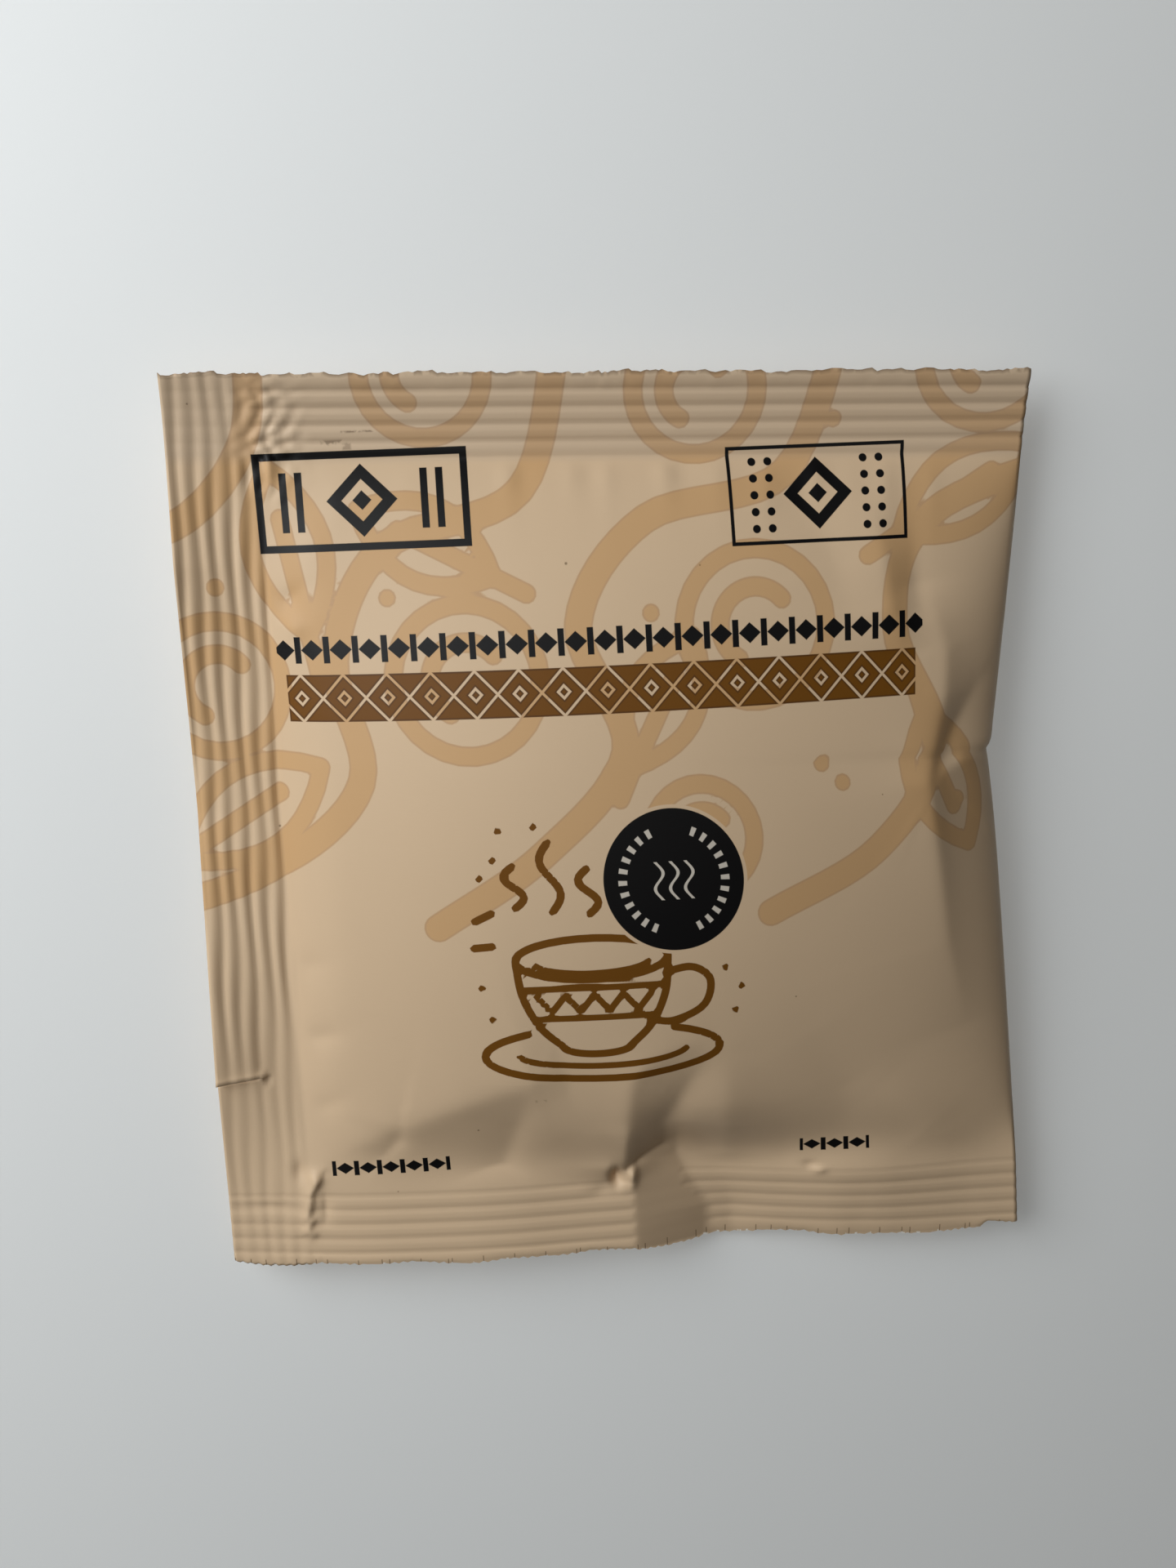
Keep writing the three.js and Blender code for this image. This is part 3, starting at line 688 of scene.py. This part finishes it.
def dressFilm(film):
    material = bpy.data.materials.new("printedLaminate")
    material.use_nodes = True
    tree = material.node_tree
    shader = tree.nodes["Principled BSDF"]
    wire = Wire(tree)
    filmMap = wire.node("ShaderNodeUVMap", {"uv_map": "filmMap"}, {})
    parts = wire.node("ShaderNodeSeparateXYZ", {}, {0: filmMap})
    flatX = (parts - 0.5) * printMap
    flatY = (parts.output(1) - 0.5) * printMap
    x, y = onPrint(flatX, flatY)

    washAway = wire.node("ShaderNodeAttribute", {"attribute_name": "washAway"}, {}, 2)
    cupAway = wire.node("ShaderNodeAttribute", {"attribute_name": "cupAway"}, {}, 2)
    boldAway = diamondRow(x, y, marks["boldRow"], marks["boldPitch"], True)
    darkAway = diamondRow(x, y, marks["darkRow"], marks["darkPitch"], False)
    for name in ("noteLeft", "noteRight"):
        darkAway = darkAway.least(diamondRow(x, y, marks[name], marks["notePitch"], False))
    darkAway = darkAway.least(framedMark(x, y, marks["leftFrame"], marks["leftStroke"], True))
    darkAway = darkAway.least(framedMark(x, y, marks["rightFrame"], marks["rightStroke"], False))
    reach, discFigure = discPrint(x, y, marks["disc"])
    brownAway = cupAway.least(boldAway)
    discSize = marks["disc"][2]

    color = washAway.inside().blend(filmLook["film"], filmLook["wash"])
    thick, soft = filmLook["washLine"]
    color = (abs(washAway) - thick).inside(soft=soft).blend(color, filmLook["washEdge"])
    color = brownAway.inside().blend(color, filmLook["brown"])
    thick, soft = filmLook["brownLine"]
    color = (abs(boldAway + 0.08) - thick).inside(soft=soft).blend(color, filmLook["brownEdge"])
    color = darkAway.inside().blend(color, filmLook["black"])
    color = (reach - discSize - marks["discGap"]).inside().blend(color, filmLook["film"])
    color = (reach - discSize).inside().blend(color, filmLook["black"])
    color = discFigure.inside().blend(color, filmLook["pale"])

    grain = noiseOn(wire, x, y, 1.0, 1.0, 1.6)
    worn = (grain - 0.5).inside(edge=0.03, soft=0.12)
    for place, share in scuffs:
        color = (boxAway(x, y, place).inside(soft=0.25) * worn * share).blend(color, filmLook["dirtAndShade"])
    spots = None
    for atX, atY, radius in specks:
        away = ((x - atX) * (x - atX) + (y - atY) * (y - atY)).math("SQRT") - radius
        spots = away if spots is None else spots.least(away)
    color = (spots.inside(soft=0.12) * filmLook["speckShare"]).blend(color, filmLook["dirtAndShade"])
    # Painted shade: dark lines where the saw's slits open in the bottom cut
    often, seldom = (repeated(flatX, start, spacing) for start, spacing in filmLook["slits"])
    slits = often.least(seldom) - filmLook["slitWidth"] / 2
    cut = flatY - bottom
    slits = slits.most(cut - filmLook["slitDepth"]).inside(soft=0.08) * filmLook["slitShadeShare"]
    color = slits.blend(color, filmLook["dirtAndShade"])
    # Painted shade: dark patches along the torn top cut, under its notches
    cutShade = (noiseOn(wire, flatX, flatY, 0.8, 0.5, 4.4) - 0.42).inside(soft=-0.12)
    cutShade = cutShade * (top - flatY - 0.3).inside(soft=0.5) * filmLook["cutShadeShare"]
    color = cutShade.blend(color, filmLook["dirtAndShade"])
    # Painted highlights: pale glints where the inner film shows at the bottom cut
    cutGlints = (noiseOn(wire, flatX, flatY, 1.3, 0.2, 3.1) - 0.64).inside(soft=-0.05)
    color = (cutGlints * (cut - 0.22).inside(soft=0.1)).blend(color, filmLook["cutGlint"])
    tone = noiseOn(wire, x, y, 0.06, 0.06, 7.7)
    color = (tone * filmLook["toneShare"]).blend(color, color.shaded(0.8, 1.05))
    # The top crimp is painted greyer and darker, partly painted shade of its ribs and partly dirt
    onTopSeal = (topLine - flatY).inside(soft=1.5)
    color = (onTopSeal * filmLook["crimpShadeAndDirtShare"]).blend(color, color.shaded(0.9, 0.9))

    low, high = filmLook["roughness"]
    weave = noiseOn(wire, x, y, 0.7, 4.2, 5.3) * 0.7 + noiseOn(wire, x, y, 2.6, 0.9, 9.2) * 0.3
    threads = {"Height": weave, "Distance": filmLook["weave"] * 0.001, "Strength": 1.0}
    bump = wire.node("ShaderNodeBump", {}, threads)
    tree.links.new(color.socket, shader.inputs["Base Color"])
    tree.links.new((tone * (high - low) + low).socket, shader.inputs["Roughness"])
    tree.links.new(bump.socket, shader.inputs["Normal"])
    shader.inputs["Specular IOR Level"].default_value = filmLook["sheen"]
    film.data.materials.clear()
    film.data.materials.append(material)


print("print and material")
dressFilm(sachetFilm)

stage = {
    "camera": (-13.57, 43.40, 208.92), "forward": (0.049, -0.180, -0.982), "up": (0.037, 0.983, -0.179),
    "lens": 37.5, "floorSize": 3, "floor": srgb(228, 230, 230), "floorRoughness": 0.8,
    "air": (1, 0.96, 0.88, 1), "airStrength": 0.045,
    # name, place in metres, size, power, colour, and whether it casts shadows
    "lamps": [("key", (-0.3, 0.2, 0.295), 0.34, 1.15, (0.96, 0.985, 1), True),
              ("softKey", (-0.34, 0.23, 0.25), 0.34, 1.38, (0.96, 0.985, 1), False),
              ("above", (-0.2, 0.1, 0.9), 0.9, 1.1, (1, 0.97, 0.91), True)],
}


def makeStage():
    bm = bmesh.new()
    bmesh.ops.create_grid(bm, x_segments=1, y_segments=1, size=stage["floorSize"])
    mesh = bpy.data.meshes.new("floor")
    bm.to_mesh(mesh)
    bm.free()
    floor = bpy.data.objects.new("floor", mesh)
    bpy.context.collection.objects.link(floor)
    material = bpy.data.materials.new("paleFloor")
    material.use_nodes = True
    shader = material.node_tree.nodes["Principled BSDF"]
    shader.inputs["Base Color"].default_value = stage["floor"]
    shader.inputs["Roughness"].default_value = stage["floorRoughness"]
    mesh.materials.append(material)

    forward = Vector(stage["forward"]).normalized()
    side = forward.cross(Vector(stage["up"])).normalized()
    up = side.cross(forward)
    data = bpy.data.cameras.new("camera")
    data.lens = stage["lens"]
    data.clip_start = 0.01
    camera = bpy.data.objects.new("camera", data)
    turn = Matrix((side, up, -forward)).transposed().to_4x4()
    camera.matrix_world = Matrix.Translation(Vector(stage["camera"]) * 0.001) @ turn
    bpy.context.collection.objects.link(camera)
    bpy.context.scene.camera = camera

    for name, place, size, power, color, casts in stage["lamps"]:
        lamp = bpy.data.lights.new(name, "AREA")
        lamp.shape = "SQUARE"
        lamp.size = size
        lamp.energy = power
        lamp.color = color
        lamp.use_shadow = casts
        lampObject = bpy.data.objects.new(name, lamp)
        aim = (Vector((0, 0, 0)) - Vector(place)).to_track_quat("-Z", "Y")
        lampObject.matrix_world = Matrix.Translation(place) @ aim.to_matrix().to_4x4()
        bpy.context.collection.objects.link(lampObject)

    world = bpy.data.worlds.new("studio")
    world.use_nodes = True
    background = world.node_tree.nodes["Background"]
    background.inputs["Color"].default_value = stage["air"]
    background.inputs["Strength"].default_value = stage["airStrength"]
    bpy.context.scene.world = world
    bpy.context.scene.view_settings.view_transform = "Standard"


print("stage")
makeStage()
